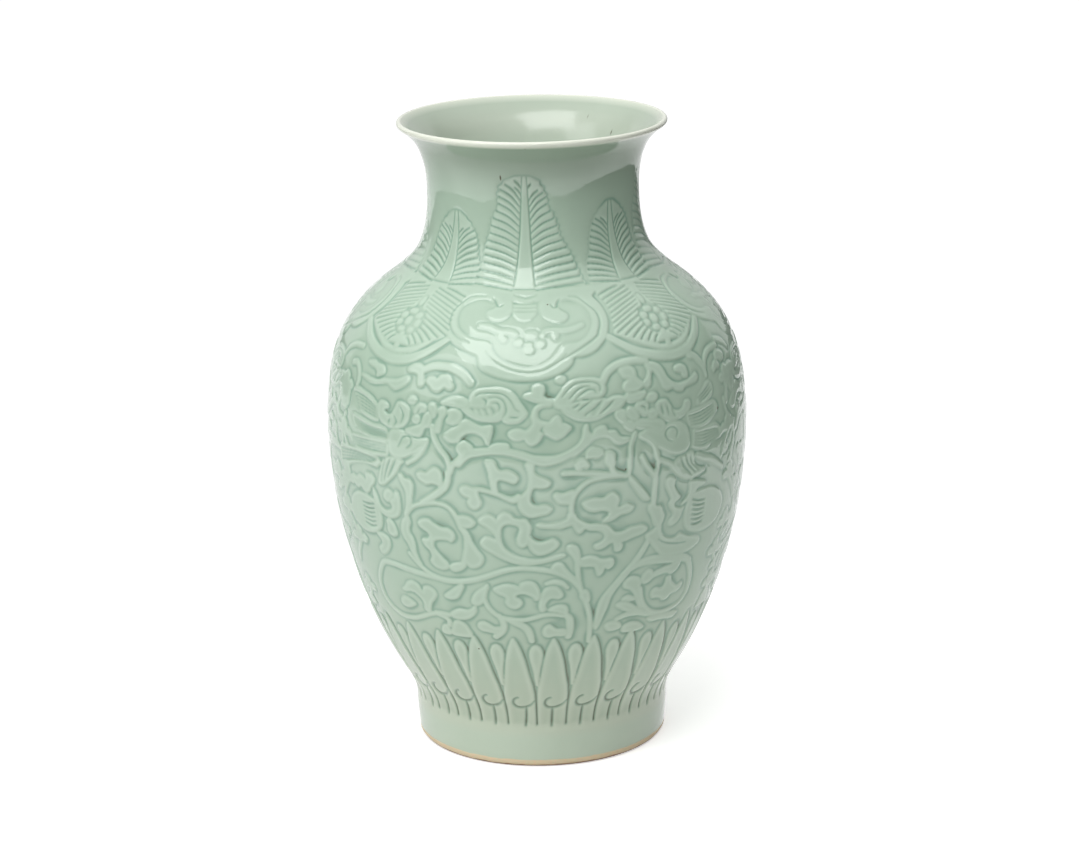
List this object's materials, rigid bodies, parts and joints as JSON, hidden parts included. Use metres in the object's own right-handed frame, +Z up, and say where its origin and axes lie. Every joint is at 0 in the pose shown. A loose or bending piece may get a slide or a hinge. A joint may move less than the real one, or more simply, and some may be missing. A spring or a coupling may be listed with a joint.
{
  "type": "celadon vase",
  "caption": "Carved celadon baluster vase with a waisted neck and trumpet mouth, for holding flowers or standing alone as a display piece.",
  "frame": {"origin": "centre of the circle that the foot ring stands on, on the table plane", "axes": "+Z up along the axis of the vase; the carving's front, with the peony stem under it, faces -Y; +X to the right"},
  "size_m": [0.2334, 0.2334, 0.35],
  "materials": {
    "celadon_glaze": "glossy translucent grey-green celadon glaze over carved grey clay, paler on edges and at the lip",
    "luting_clay": "fired slip, covered by the glaze where it reaches the surface"
  },
  "bodies": {
    "root": {"foot_ring": "celadon_glaze", "base_luting": "luting_clay", "base_disc": "celadon_glaze", "foot_luting": "luting_clay", "lower_body": "celadon_glaze", "waist_luting": "luting_clay", "upper_body": "celadon_glaze", "neck_luting": "luting_clay", "neck": "celadon_glaze"}
  },
  "joints": []
}
